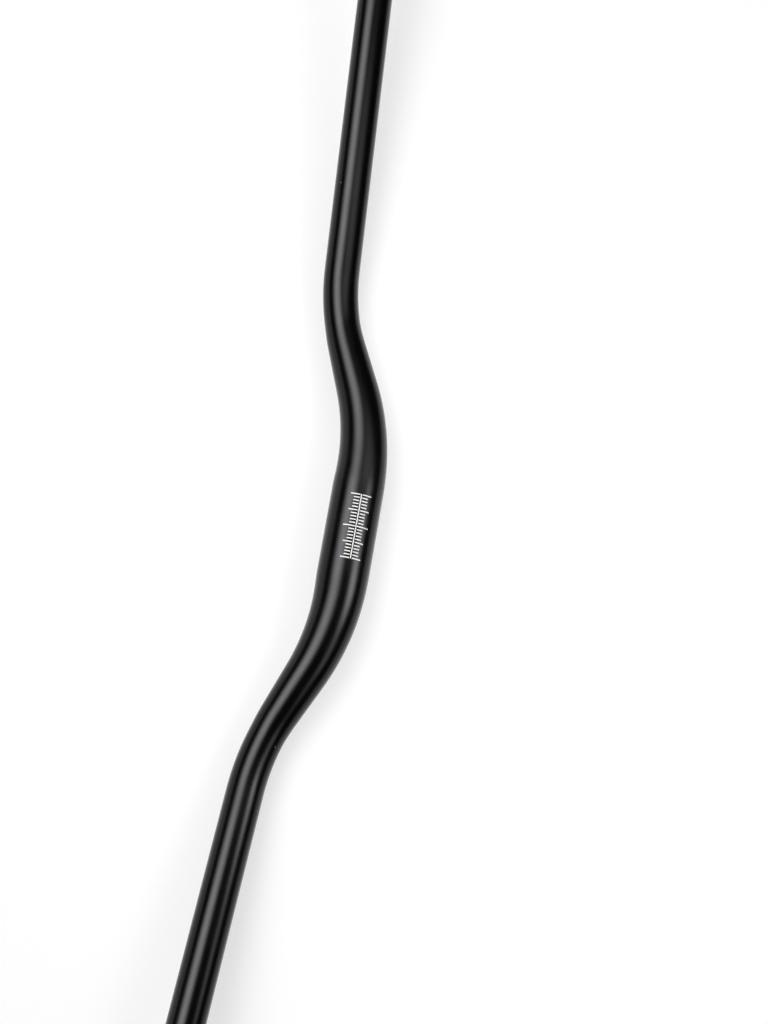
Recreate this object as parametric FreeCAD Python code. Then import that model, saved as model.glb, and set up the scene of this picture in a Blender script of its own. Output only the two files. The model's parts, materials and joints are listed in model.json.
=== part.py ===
# A low-rise flat handlebar for a bicycle, lying on its front side as it comes to rest on a table.
# It is one drawn aluminium tube: round and straight in the middle for the stem, tapered through
# an inner and an outer bend on each side, and straight again for the grips. The bore is butted,
# with a thicker wall where the stem clamps the bar and at the tips.
#
# The bar is laid out as it sits on a bicycle, with X to the rider's right, Y forward, Z up and the
# origin in the middle of the clamp seat. At the end it is rolled about X onto its front side, so
# that the rise lies along +Y and the rider's side faces up.

import FreeCAD, Part
import math
import os

Vector = FreeCAD.Vector

# Outside of the tube, in millimetres
BAR_WIDTH = 780.0
CLAMP_DIAMETER = 31.8
GRIP_DIAMETER = 22.2
SEAT_LENGTH = 52.0
TAPER_LENGTH = 114.0
TAPER_EASE = 8.0

# Bends, in millimetres and degrees. The rise is the height of the grips' inner ends over the seat.
RISE = 34.0
UPSWEEP = 3.0
BACKSWEEP = 8.0
SEAT_TO_BEND = 9.0
INNER_BEND_RADIUS = 145.0
BETWEEN_BENDS = 28.0
OUTER_BEND_RADIUS = 136.0

# Bore, in millimetres
CLAMP_WALL = 2.4
ARM_WALL = 1.7
TIP_WALL = 2.0
TIP_BUTT_LENGTH = 60.0
BUTT_BLEND_LENGTH = 30.0
TIP_CHAMFER = 0.5

# Spacing of the sections that the tapered bends are lofted through
SECTION_SPACING = 8.0

CLAMP_RADIUS = CLAMP_DIAMETER / 2
GRIP_RADIUS = GRIP_DIAMETER / 2
CLAMP_BORE_RADIUS = CLAMP_RADIUS - CLAMP_WALL
ARM_BORE_RADIUS = GRIP_RADIUS - ARM_WALL
TIP_BORE_RADIUS = GRIP_RADIUS - TIP_WALL
SEAT_END = SEAT_LENGTH / 2
BEND_START = SEAT_END + SEAT_TO_BEND

ORIGIN = Vector(0, 0, 0)
RIGHT = Vector(1, 0, 0)


def tangent_length(radius, before, after):
    """Length that a bend takes off each of the two straight runs that it joins."""
    return radius * math.tan(before.getAngle(after) / 2)


def rise_direction(slope):
    """Direction of the straight between the two bends, which climbs without sweeping back."""
    return Vector(math.cos(slope), 0, math.sin(slope))


def grip_direction():
    """Direction of the right grip, swept up and back."""
    sweep_back = math.tan(math.radians(BACKSWEEP))
    sweep_up = math.tan(math.radians(UPSWEEP))
    return Vector(1, -sweep_back, sweep_up).normalize()


def climb(slope):
    """Height gained from the seat to the grip's inner end, for a slope between the bends."""
    rising = rise_direction(slope)
    grip = grip_direction()
    inner = tangent_length(INNER_BEND_RADIUS, RIGHT, rising)
    outer = tangent_length(OUTER_BEND_RADIUS, rising, grip)
    return (inner + BETWEEN_BENDS + outer) * rising.z + outer * grip.z


def halve_to(is_past, low, high, rounds=50):
    """The value between low and high from which is_past holds, by halving the interval."""
    for _ in range(rounds):
        middle = (low + high) / 2
        if is_past(middle):
            high = middle
        else:
            low = middle
    return high


def bend(corner, before, after, radius):
    """The arc that rounds a corner of the centre line."""
    reach = tangent_length(radius, before, after)
    to_centre = (after - before).normalize()
    half_turn = before.getAngle(after) / 2
    middle = corner + to_centre * (radius / math.cos(half_turn) - radius)
    return Part.Arc(corner - before * reach, middle, corner + after * reach).toShape()


def right_arm_path():
    """The centre line from the seat's edge to the grip's inner end: straight, bend, straight, bend."""
    steepest = math.radians(80)
    slope = halve_to(lambda angle: climb(angle) > RISE, math.radians(UPSWEEP), steepest)
    rising = rise_direction(slope)
    grip = grip_direction()
    inner_reach = tangent_length(INNER_BEND_RADIUS, RIGHT, rising)
    outer_reach = tangent_length(OUTER_BEND_RADIUS, rising, grip)
    inner_corner = RIGHT * (BEND_START + inner_reach)
    outer_corner = inner_corner + rising * (inner_reach + BETWEEN_BENDS + outer_reach)
    inner_bend = bend(inner_corner, RIGHT, rising, INNER_BEND_RADIUS)
    outer_bend = bend(outer_corner, rising, grip, OUTER_BEND_RADIUS)
    seat_run = Part.LineSegment(RIGHT * SEAT_END, inner_bend.firstVertex().Point).toShape()
    rise_run = Part.LineSegment(inner_bend.lastVertex().Point, outer_bend.firstVertex().Point).toShape()
    return [seat_run, inner_bend, rise_run, outer_bend]


def path_length(path):
    """Length of the centre line from the edge of the seat to the grip's inner end."""
    return sum(edge.Length for edge in path)


def station(path, distance):
    """Point and direction on the path, at a distance from the edge of the seat."""
    for edge in path:
        if distance <= edge.Length or edge is path[-1]:
            place = edge.getParameterByLength(min(distance, edge.Length))
            return edge.valueAt(place), edge.tangentAt(place)
        distance -= edge.Length


def taper_share(distance):
    """How much of the taper is done at a distance from the seat, from 0 to 1, with eased ends."""
    done = min(max(distance, 0), TAPER_LENGTH)
    from_end = min(done, TAPER_LENGTH - done)
    if from_end < TAPER_EASE:
        eased = from_end ** 2 / (2 * TAPER_EASE)
    else:
        eased = from_end - TAPER_EASE / 2
    share = eased / (TAPER_LENGTH - TAPER_EASE)
    return share if done < TAPER_LENGTH / 2 else 1 - share


def radius_along(distance, seat_radius, grip_radius):
    """Radius of the outside or of the bore, at a distance from the edge of the seat."""
    return seat_radius + (grip_radius - seat_radius) * taper_share(distance)


def ring(point, direction, radius):
    """A round section square to the path, in two halves that start on the same side of every section."""
    upper = Part.makeCircle(radius, ORIGIN, RIGHT, 0, 180)
    lower = Part.makeCircle(radius, ORIGIN, RIGHT, 180, 360)
    section = Part.Wire([upper, lower])
    section.Placement = FreeCAD.Placement(point, FreeCAD.Rotation(RIGHT, direction))
    return section


def lofted(path, start, end, seat_radius, grip_radius):
    """A round solid along a stretch of the path, through sections that follow the taper."""
    steps = math.ceil((end - start) / SECTION_SPACING)
    sections = []
    for step in range(steps + 1):
        distance = start + (end - start) * step / steps
        point, direction = station(path, distance)
        radius = radius_along(distance, seat_radius, grip_radius)
        sections.append(ring(point, direction, radius))
    return Part.makeLoft(sections, True, False)


def bent_tube(path, start, end):
    """A stretch of the arm through its bends: the outside, hollowed by the bore."""
    outside = lofted(path, start, end, CLAMP_RADIUS, GRIP_RADIUS)
    bore = lofted(path, start, end, CLAMP_BORE_RADIUS, ARM_BORE_RADIUS)
    return outside.cut(bore)


def clamp_seat():
    """The straight middle of the tube, which the stem clamps."""
    start = RIGHT * -SEAT_END
    outside = Part.makeCylinder(CLAMP_RADIUS, SEAT_LENGTH, start, RIGHT)
    bore = Part.makeCylinder(CLAMP_BORE_RADIUS, SEAT_LENGTH, start, RIGHT)
    return outside.cut(bore)


def grip_end(path):
    """The straight outer end: its wall section, thicker at the tip, turned about the grip's axis."""
    inner_end, direction = station(path, path_length(path))
    tip_lean = (GRIP_RADIUS - TIP_CHAMFER) * math.sqrt(1 - direction.x ** 2)
    length = (BAR_WIDTH / 2 - tip_lean - inner_end.x) / direction.x
    butt_start = length - TIP_BUTT_LENGTH
    section = Part.makePolygon([
        Vector(0, GRIP_RADIUS, 0),
        Vector(length - TIP_CHAMFER, GRIP_RADIUS, 0),
        Vector(length, GRIP_RADIUS - TIP_CHAMFER, 0),
        Vector(length, TIP_BORE_RADIUS + TIP_CHAMFER, 0),
        Vector(length - TIP_CHAMFER, TIP_BORE_RADIUS, 0),
        Vector(butt_start, TIP_BORE_RADIUS, 0),
        Vector(butt_start - BUTT_BLEND_LENGTH, ARM_BORE_RADIUS, 0),
        Vector(0, ARM_BORE_RADIUS, 0),
        Vector(0, GRIP_RADIUS, 0),
    ])
    turned = Part.Face(section).revolve(ORIGIN, RIGHT, 360)
    turned.Placement = FreeCAD.Placement(inner_end, FreeCAD.Rotation(RIGHT, direction))
    return turned


def resting_roll(path):
    """Roll, in radians, at which the arms come down to the table that the clamp seat lies on."""
    length = path_length(path)
    samples = math.ceil(length)
    stations = []
    for step in range(1, samples + 1):
        distance = length * step / samples
        point, direction = station(path, distance)
        stations.append((point, direction, radius_along(distance, CLAMP_RADIUS, GRIP_RADIUS)))

    def arm_is_lower(roll):
        up = Vector(0, -math.cos(roll), -math.sin(roll))
        for point, direction, radius in stations:
            lowest = point.dot(up) - radius * math.sqrt(1 - direction.dot(up) ** 2)
            if lowest < -CLAMP_RADIUS:
                return True
        return False

    return halve_to(arm_is_lower, 0, math.radians(45))


right_path = right_arm_path()
tapered = bent_tube(right_path, 0, TAPER_LENGTH)
parallel = bent_tube(right_path, TAPER_LENGTH, path_length(right_path))
right_half = tapered.fuse([parallel, grip_end(right_path)])
left_half = right_half.mirror(ORIGIN, RIGHT)
handlebar = clamp_seat().fuse([right_half, left_half]).removeSplitter()
handlebar.rotate(ORIGIN, RIGHT, -90 - math.degrees(resting_roll(right_path)))

os.makedirs("parts", exist_ok=True)
handlebar.exportStep("parts/handlebar_tube.step")
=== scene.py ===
import json
import math

import bpy
from mathutils import Matrix, Quaternion, Vector


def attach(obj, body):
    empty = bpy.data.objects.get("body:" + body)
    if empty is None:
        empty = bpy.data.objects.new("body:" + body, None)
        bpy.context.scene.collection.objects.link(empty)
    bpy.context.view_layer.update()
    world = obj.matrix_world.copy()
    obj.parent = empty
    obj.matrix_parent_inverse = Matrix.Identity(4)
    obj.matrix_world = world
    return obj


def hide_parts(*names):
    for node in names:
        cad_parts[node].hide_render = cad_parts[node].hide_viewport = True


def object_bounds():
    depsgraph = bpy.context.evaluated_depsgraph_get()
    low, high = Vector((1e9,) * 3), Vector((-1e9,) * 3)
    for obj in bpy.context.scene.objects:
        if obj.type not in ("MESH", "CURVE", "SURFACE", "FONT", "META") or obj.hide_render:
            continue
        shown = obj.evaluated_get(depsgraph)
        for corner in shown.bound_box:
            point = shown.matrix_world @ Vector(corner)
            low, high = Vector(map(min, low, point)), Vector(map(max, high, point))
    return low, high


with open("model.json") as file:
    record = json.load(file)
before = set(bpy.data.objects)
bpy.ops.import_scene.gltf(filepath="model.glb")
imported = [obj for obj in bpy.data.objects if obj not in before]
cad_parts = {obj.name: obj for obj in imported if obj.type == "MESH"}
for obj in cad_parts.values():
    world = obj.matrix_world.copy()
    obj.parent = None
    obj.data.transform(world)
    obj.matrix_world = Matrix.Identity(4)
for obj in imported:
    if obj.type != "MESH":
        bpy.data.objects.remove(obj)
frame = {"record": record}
cad_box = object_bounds()

# The handlebar is one drawn aluminium tube, full round where the stem clamps it, tapered through an
# inner and an outer bend on each side, and parallel for the grips. Its bore is butted, with a thicker
# wall at the clamp and the tips. It is bead blasted, then dyed black in the anodising bath.

MM = 0.001
mounts = {mount["name"]: mount for mount in frame["record"]["mounts"]}
SEAT_LENGTH = mounts["stem_clamp"]["dims"]["length_mm"] * MM
SEAT_RADIUS = mounts["stem_clamp"]["dims"]["r_mm"] * MM
GRIP_LENGTH = mounts["right_grip"]["dims"]["length_mm"] * MM
GRIP_RADIUS = mounts["right_grip"]["dims"]["r_mm"] * MM
TIP_BORE_LENGTH = mounts["right_end_bore"]["dims"]["length_mm"] * MM
TIP_BORE_RADIUS = mounts["right_end_bore"]["dims"]["r_mm"] * MM
SEAT_WALL = 2.4 * MM
ARM_WALL = 1.7 * MM
SEAT_BORE_RADIUS = SEAT_RADIUS - SEAT_WALL
ARM_BORE_RADIUS = GRIP_RADIUS - ARM_WALL
TAPER_LENGTH = 114 * MM
TAPER_EASE = 8 * MM
SEAT_TO_BEND = 9 * MM
INNER_BEND_RADIUS = 145 * MM
OUTER_BEND_RADIUS = 136 * MM
BUTT_BLEND = 30 * MM
TIP_CHAMFER = 0.5 * MM
RING_SPACING = 2.5 * MM
RING_POINTS = 96
SHARP_EDGE = math.radians(25)

RIGHT = Vector((1, 0, 0))
grip_axis = Vector(mounts["right_grip"]["axis"]).normalized()
grip_start = Vector(mounts["right_grip"]["pos_m"]) - grip_axis * (GRIP_LENGTH / 2)
bend_start = RIGHT * (SEAT_LENGTH / 2 + SEAT_TO_BEND)

# The straight between the bends runs from corner to corner. Where the corners lie depends on how far
# each bend turns, so repeated rounds settle both.
SETTLING_ROUNDS = 40
rising = (grip_start - bend_start).normalized()
for _ in range(SETTLING_ROUNDS):
    inner_reach = INNER_BEND_RADIUS * math.tan(RIGHT.angle(rising) / 2)
    outer_reach = OUTER_BEND_RADIUS * math.tan(rising.angle(grip_axis) / 2)
    inner_corner = bend_start + RIGHT * inner_reach
    outer_corner = grip_start - grip_axis * outer_reach
    rising = (outer_corner - inner_corner).normalized()


def straight(start, end):
    """Stations along a straight of the centre line: points with their direction, the first left out."""
    steps = math.ceil((end - start).length / RING_SPACING)
    direction = (end - start).normalized()
    return [(start.lerp(end, step / steps), direction) for step in range(1, steps + 1)]


def bend(start, before, after, radius):
    """Stations along a bend of the centre line, the first left out."""
    turn = before.angle(after)
    steps = math.ceil(turn * radius / RING_SPACING)
    axis = before.cross(after).normalized()
    centre = start + axis.cross(before) * radius
    stations = []
    for step in range(1, steps + 1):
        swing = Quaternion(axis, turn * step / steps)
        stations.append((centre + swing @ (start - centre), swing @ before))
    return stations


def taper_share(distance):
    """How much of the taper is done at a distance from the seat's edge, from 0 to 1, with eased ends."""
    done = min(max(distance, 0), TAPER_LENGTH)
    from_end = min(done, TAPER_LENGTH - done)
    if from_end < TAPER_EASE:
        eased = from_end ** 2 / (2 * TAPER_EASE)
    else:
        eased = from_end - TAPER_EASE / 2
    share = eased / (TAPER_LENGTH - TAPER_EASE)
    return share if done < TAPER_LENGTH / 2 else 1 - share


def ring(point, direction, radius):
    """Points of a round section, square to the centre line."""
    turned = RIGHT.rotation_difference(direction)
    points = []
    for step in range(RING_POINTS):
        angle = 2 * math.pi * step / RING_POINTS
        points.append(point + turned @ Vector((0, radius * math.cos(angle), radius * math.sin(angle))))
    return points


def grip_ring(along, radius):
    """A section of the right grip, by how far it is from the grip's inner end."""
    return ring(grip_start + grip_axis * along, grip_axis, radius)


def whole(half):
    """Rings from the left tip to the right one, from those of the right half."""
    left = [[Vector((-point.x, point.y, point.z)) for point in section] for section in half[1:]]
    return left[::-1] + half


seat_edge = RIGHT * (SEAT_LENGTH / 2)
inner_bend_end = inner_corner + rising * inner_reach
outer_bend_start = outer_corner - rising * outer_reach
arm = [(seat_edge, RIGHT)]
arm += straight(seat_edge, bend_start)
arm += bend(bend_start, RIGHT, rising, INNER_BEND_RADIUS)
arm += straight(inner_bend_end, outer_bend_start)
arm += bend(outer_bend_start, rising, grip_axis, OUTER_BEND_RADIUS)

outside_half = [ring(RIGHT * 0, RIGHT, SEAT_RADIUS)]
bore_half = [ring(RIGHT * 0, RIGHT, SEAT_BORE_RADIUS)]
distance = 0
last_point = seat_edge
for point, direction in arm:
    distance += (point - last_point).length
    last_point = point
    share = taper_share(distance)
    outside_radius = SEAT_RADIUS + (GRIP_RADIUS - SEAT_RADIUS) * share
    bore_radius = SEAT_BORE_RADIUS + (ARM_BORE_RADIUS - SEAT_BORE_RADIUS) * share
    outside_half.append(ring(point, direction, outside_radius))
    bore_half.append(ring(point, direction, bore_radius))

butt_start = GRIP_LENGTH - TIP_BORE_LENGTH
tip = GRIP_LENGTH + TIP_CHAMFER
outside_half += [
    grip_ring(GRIP_LENGTH / 2, GRIP_RADIUS),
    grip_ring(GRIP_LENGTH, GRIP_RADIUS),
    grip_ring(tip, GRIP_RADIUS - TIP_CHAMFER),
]
bore_half += [
    grip_ring(butt_start - BUTT_BLEND, ARM_BORE_RADIUS),
    grip_ring(butt_start, TIP_BORE_RADIUS),
    grip_ring(GRIP_LENGTH, TIP_BORE_RADIUS),
    grip_ring(tip, TIP_BORE_RADIUS + TIP_CHAMFER),
]

rings = whole(outside_half) + whole(bore_half)[::-1]
faces = []
for index in range(len(rings)):
    here = index * RING_POINTS
    after = (index + 1) % len(rings) * RING_POINTS
    for step in range(RING_POINTS):
        beside = (step + 1) % RING_POINTS
        faces.append((here + step, here + beside, after + beside, after + step))

tube_mesh = bpy.data.meshes.new("bar_tube")
tube_mesh.from_pydata([point for section in rings for point in section], [], faces)
tube_mesh.shade_smooth()
tube_mesh.set_sharp_from_angle(angle=SHARP_EDGE)
tube = bpy.data.objects.new("bar_tube", tube_mesh)
bpy.context.scene.collection.objects.link(tube)


def linear(hex_colour):
    """Linear colour with alpha, from an sRGB hex value."""
    shares = [int(hex_colour[place:place + 2], 16) / 255 for place in (1, 3, 5)]
    lights = [s / 12.92 if s <= 0.04045 else ((s + 0.055) / 1.055) ** 2.4 for s in shares]
    return (*lights, 1)


def add_node(owner, kind, links=None, **settings):
    """A node of a material or lamp: values for its inputs, its own settings, and links from outputs."""
    node = owner.node_tree.nodes.new(kind)
    for name, value in settings.pop("inputs", {}).items():
        node.inputs[name].default_value = value
    for name, value in settings.items():
        setattr(node, name, value)
    for name, output in (links or {}).items():
        owner.node_tree.links.new(output, node.inputs[name])
    return node


# Black anodised aluminium over a bead blasted tube: a dyed oxide skin that mirrors lamps as soft satin
# bands, a little glossier where hands have rubbed it, with a few specks of settled dust. The blasted
# grain is about 0.1 mm in the real metal, and is drawn ten times as coarse so that it shows.
BLASTED_GRAIN = 1.0 * MM
GRAIN_HEIGHT = 0.02 * MM
RUBBED_PATCH = 14 * MM
SPECK_SPACING = 15 * MM
SPECK_RADIUS = 0.45 * MM
SPECK_CORE = 0.6
RUBBED_ROUGHNESS = 0.20
BLASTED_ROUGHNESS = 0.24
DUST_ROUGHNESS = 0.6
anodised = bpy.data.materials.new("satin_black_anodised_aluminium")
anodised.use_nodes = True
anodised.node_tree.nodes.clear()
tube_place = add_node(anodised, "ShaderNodeTexCoord").outputs["Object"]
rubbing = add_node(
    anodised, "ShaderNodeTexNoise", {"Vector": tube_place},
    inputs={"Scale": 1 / RUBBED_PATCH, "Detail": 3.0, "Roughness": 0.55},
)
gloss = add_node(
    anodised, "ShaderNodeMapRange", {"Value": rubbing.outputs["Fac"]},
    inputs={
        "From Min": 0.3,
        "From Max": 0.7,
        "To Min": RUBBED_ROUGHNESS,
        "To Max": BLASTED_ROUGHNESS,
    },
)
speck_middles = add_node(
    anodised, "ShaderNodeTexVoronoi", {"Vector": tube_place}, inputs={"Scale": 1 / SPECK_SPACING},
)
speck_reach = SPECK_RADIUS / SPECK_SPACING
specks = add_node(
    anodised, "ShaderNodeMapRange", {"Value": speck_middles.outputs["Distance"]},
    inputs={
        "From Min": speck_reach * SPECK_CORE,
        "From Max": speck_reach,
        "To Min": 1.0,
        "To Max": 0.0,
    },
).outputs["Result"]
colour = add_node(
    anodised, "ShaderNodeMixRGB", {"Fac": specks},
    inputs={"Color1": linear("#2c2b2c"), "Color2": linear("#8a8a88")},
)
bare_metal = add_node(
    anodised, "ShaderNodeMath", {1: specks}, operation="SUBTRACT", inputs={0: 1.0},
)
roughness = add_node(
    anodised, "ShaderNodeMath", {0: specks, 2: gloss.outputs["Result"]},
    operation="MULTIPLY_ADD", inputs={1: DUST_ROUGHNESS},
)
grain = add_node(
    anodised, "ShaderNodeTexNoise", {"Vector": tube_place},
    inputs={"Scale": 1 / BLASTED_GRAIN, "Detail": 1.0},
)
blasted = add_node(
    anodised, "ShaderNodeBump", {"Height": grain.outputs["Fac"]}, inputs={"Distance": GRAIN_HEIGHT},
)
skin = add_node(
    anodised, "ShaderNodeBsdfPrincipled",
    {
        "Base Color": colour.outputs["Color"],
        "Metallic": bare_metal.outputs["Value"],
        "Roughness": roughness.outputs["Value"],
        "Normal": blasted.outputs["Normal"],
    },
)
add_node(anodised, "ShaderNodeOutputMaterial", {"Surface": skin.outputs["BSDF"]})
tube_mesh.materials.append(anodised)

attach(tube, "root")
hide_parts("handlebar_tube")

# The centring scale is white ink, pad printed on the clamp seat after anodising, on the side that
# faces the rider. Marks that run round the seat on both sides of a base line show where the middle of
# the bar is when it is set in a stem.

MARK_PITCH = 2 * MM
MARKS_EACH_SIDE = 10
LONG_MARK_EVERY = 5
LINE_WIDTH = 0.7 * MM
SHORT_MARK = 3.6 * MM
LONG_MARK = 5.6 * MM
MIDDLE_MARK = 8 * MM
MARK_GAP = 0.5 * MM
INK_BELOW = 0.02 * MM
INK_ABOVE = 0.03 * MM
INK_STEP = 0.5 * MM
SCALE_FACING = math.radians(-2)
ink_points = []
ink_faces = []


def print_line(along, around):
    """Adds a thin slab of ink to the seat, from one place to another along the bar and around it."""
    steps = math.ceil((around[1] - around[0]) / INK_STEP)
    low = SEAT_RADIUS - INK_BELOW
    high = SEAT_RADIUS + INK_ABOVE
    first = len(ink_points)
    for step in range(steps + 1):
        angle = SCALE_FACING + (around[0] + (around[1] - around[0]) * step / steps) / SEAT_RADIUS
        for x, radius in ((along[0], low), (along[1], low), (along[1], high), (along[0], high)):
            ink_points.append((x, radius * math.sin(angle), radius * math.cos(angle)))
    last = first + 4 * steps
    ink_faces.append((first, first + 1, first + 2, first + 3))
    ink_faces.append((last + 3, last + 2, last + 1, last))
    for here in range(first, last, 4):
        for side in range(4):
            beside = (side + 1) % 4
            ink_faces.append((here + side, here + 4 + side, here + 4 + beside, here + beside))


half_line = LINE_WIDTH / 2
mark_start = half_line + MARK_GAP
scale_end = MARKS_EACH_SIDE * MARK_PITCH + half_line
print_line((-half_line, half_line), (-MIDDLE_MARK, MIDDLE_MARK))
print_line((mark_start, scale_end), (-half_line, half_line))
print_line((-scale_end, -mark_start), (-half_line, half_line))
for number in range(1, MARKS_EACH_SIDE + 1):
    reach = LONG_MARK if number % LONG_MARK_EVERY == 0 else SHORT_MARK
    for middle in (-number * MARK_PITCH, number * MARK_PITCH):
        along = (middle - half_line, middle + half_line)
        print_line(along, (mark_start, mark_start + reach))
        print_line(along, (-mark_start - reach, -mark_start))

scale_mesh = bpy.data.meshes.new("centring_scale")
scale_mesh.from_pydata(ink_points, [], ink_faces)
scale = bpy.data.objects.new("centring_scale", scale_mesh)
bpy.context.scene.collection.objects.link(scale)

# White pad printing ink: a thin flat film, matt next to the metal, and mottled where the pad laid less.
INK_MOTTLE = 0.9 * MM
ink = bpy.data.materials.new("white_pad_printing_ink")
ink.use_nodes = True
ink.node_tree.nodes.clear()
ink_place = add_node(ink, "ShaderNodeTexCoord").outputs["Object"]
mottle = add_node(
    ink, "ShaderNodeTexNoise", {"Vector": ink_place}, inputs={"Scale": 1 / INK_MOTTLE, "Detail": 2.0},
)
film_colour = add_node(
    ink, "ShaderNodeMixRGB", {"Fac": mottle.outputs["Fac"]},
    inputs={"Color1": linear("#dadad8"), "Color2": linear("#f6f6f4")},
)
film = add_node(
    ink, "ShaderNodeBsdfPrincipled", {"Base Color": film_colour.outputs["Color"]},
    inputs={"Roughness": 0.55},
)
add_node(ink, "ShaderNodeOutputMaterial", {"Surface": film.outputs["BSDF"]})
scale_mesh.materials.append(ink)

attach(scale, "root")

# The table is a white matt sheet of paper. The bar lies on it with its clamp seat and its arms, on its
# front side. The sheet shows near white to the eye, takes the bar's shadow, and sweeps up far off, so
# that low views meet no edge.

floor_height = cad_box[0][2]
SHEET_REACH = 26.0
SWEEP_WIDTH = 4.0
SWEEP_RISE = 1.2
sheet_corners = []
for reach, height in ((SHEET_REACH - SWEEP_WIDTH, 0), (SHEET_REACH, SWEEP_RISE)):
    for x, y in ((-reach, -reach), (reach, -reach), (reach, reach), (-reach, reach)):
        sheet_corners.append((x, y, floor_height + height))
sheet_faces = [(0, 1, 2, 3)]
for side in range(4):
    beside = (side + 1) % 4
    sheet_faces.append((side, side + 4, beside + 4, beside))
sheet_mesh = bpy.data.meshes.new("table_sheet")
sheet_mesh.from_pydata(sheet_corners, [], sheet_faces)
sheet = bpy.data.objects.new("table_sheet", sheet_mesh)
bpy.context.scene.collection.objects.link(sheet)

# White uncoated paper: plain diffuse, with a lift that only the eye and mirrored rays see.
PAPER_LIFT = 0.60
paper = bpy.data.materials.new("white_uncoated_paper")
paper.use_nodes = True
paper.node_tree.nodes.clear()
fibres = add_node(paper, "ShaderNodeBsdfDiffuse", inputs={"Color": linear("#b1b0ae")})
rays = add_node(paper, "ShaderNodeLightPath").outputs
seen = add_node(
    paper, "ShaderNodeMath", {0: rays["Is Camera Ray"], 1: rays["Is Glossy Ray"]}, operation="MAXIMUM",
)
seen_or_through = add_node(
    paper, "ShaderNodeMath", {0: seen.outputs["Value"], 1: rays["Is Transmission Ray"]},
    operation="MAXIMUM",
)
lift = add_node(
    paper, "ShaderNodeMath", {0: seen_or_through.outputs["Value"]},
    operation="MULTIPLY", inputs={1: PAPER_LIFT},
)
white = add_node(
    paper, "ShaderNodeEmission", {"Strength": lift.outputs["Value"]},
    inputs={"Color": linear("#fcfcff")},
)
lifted = add_node(
    paper, "ShaderNodeAddShader", {0: fibres.outputs["BSDF"], 1: white.outputs["Emission"]},
)
add_node(paper, "ShaderNodeOutputMaterial", {"Surface": lifted.outputs["Shader"]})
sheet_mesh.materials.append(paper)

# The studio light is four soft lamps that the bar mirrors as satin bands, a fill beyond each end of
# the bar, and a dim room. Each lamp is brightest in its middle and fades to nothing at its rim, as a
# diffuser in front of one bulb does.


def soft_lamp(name, along, across, distance, width, length, radiance):
    """A lamp that faces the clamp seat, leaned from overhead by degrees along and across the bar."""
    lean_along = math.radians(along)
    lean_across = math.radians(across)
    away = Vector((
        math.sin(lean_along),
        math.cos(lean_along) * math.sin(lean_across),
        math.cos(lean_along) * math.cos(lean_across),
    ))
    sideways = RIGHT.cross(away).normalized()
    turn = Matrix((sideways, away.cross(sideways), away)).transposed().to_4x4()
    data = bpy.data.lights.new(name, "AREA")
    data.shape = "RECTANGLE"
    data.size = width
    data.size_y = length
    data.energy = radiance * math.pi * width * length
    data.use_nodes = True
    data.node_tree.nodes.clear()
    spot = add_node(data, "ShaderNodeNewGeometry").outputs["Parametric"]
    from_middle = add_node(
        data, "ShaderNodeVectorMath", {0: spot}, operation="DISTANCE", inputs={1: (0.5, 0.5, 0.0)},
    )
    fade = add_node(
        data, "ShaderNodeMapRange", {"Value": from_middle.outputs["Value"]},
        interpolation_type="SMOOTHSTEP", inputs={"From Max": 0.5, "To Min": 1.0, "To Max": 0.0},
    )
    glow = add_node(data, "ShaderNodeEmission", {"Strength": fade.outputs["Result"]})
    add_node(data, "ShaderNodeOutputLight", {"Surface": glow.outputs["Emission"]})
    lamp = bpy.data.objects.new(name, data)
    lamp.matrix_world = Matrix.Translation(away * distance) @ turn
    bpy.context.scene.collection.objects.link(lamp)


# Each line gives the leans in degrees, then distance, width and length in metres, then the radiance.
soft_lamp("key_left", 13, 35.5, 2.4, 2.9, 2.3, 8.6)
soft_lamp("near_right", 6, -41, 0.5, 0.42, 0.37, 9.4)
soft_lamp("low_right", -18, -41, 0.53, 0.34, 0.26, 2.1)
soft_lamp("head", 23.5, -15, 0.93, 1.4, 0.46, 1.9)
soft_lamp("left_end_fill", -46, 32, 2.2, 2.2, 2.4, 2.5)
soft_lamp("right_end_fill", 57, 15, 2.2, 2.2, 1.7, 2.5)
room = bpy.data.worlds.new("dim_room")
room.use_nodes = True
room.node_tree.nodes["Background"].inputs["Color"].default_value = linear("#404040")
bpy.context.scene.world = room
bpy.context.scene.view_settings.view_transform = "Standard"

# The camera looks down on the bar from the side that it rises to, with the right grip at the top of
# the picture.

FOCAL_LENGTH_MM = 69.29
eye = Vector((-0.3101, 0.1516, 1.1495))
picture_up = Vector((0.9484, 0.2086, 0.2389))
camera_right = Vector((0.1651, -0.9678, 0.1899)).normalized()
camera_back = camera_right.cross(picture_up).normalized()
camera_up = camera_back.cross(camera_right)
camera_turn = Matrix((camera_right, camera_up, camera_back)).transposed().to_4x4()
lens = bpy.data.cameras.new("camera")
lens.lens = FOCAL_LENGTH_MM
camera = bpy.data.objects.new("camera", lens)
camera.matrix_world = Matrix.Translation(eye) @ camera_turn
bpy.context.scene.collection.objects.link(camera)
bpy.context.scene.camera = camera
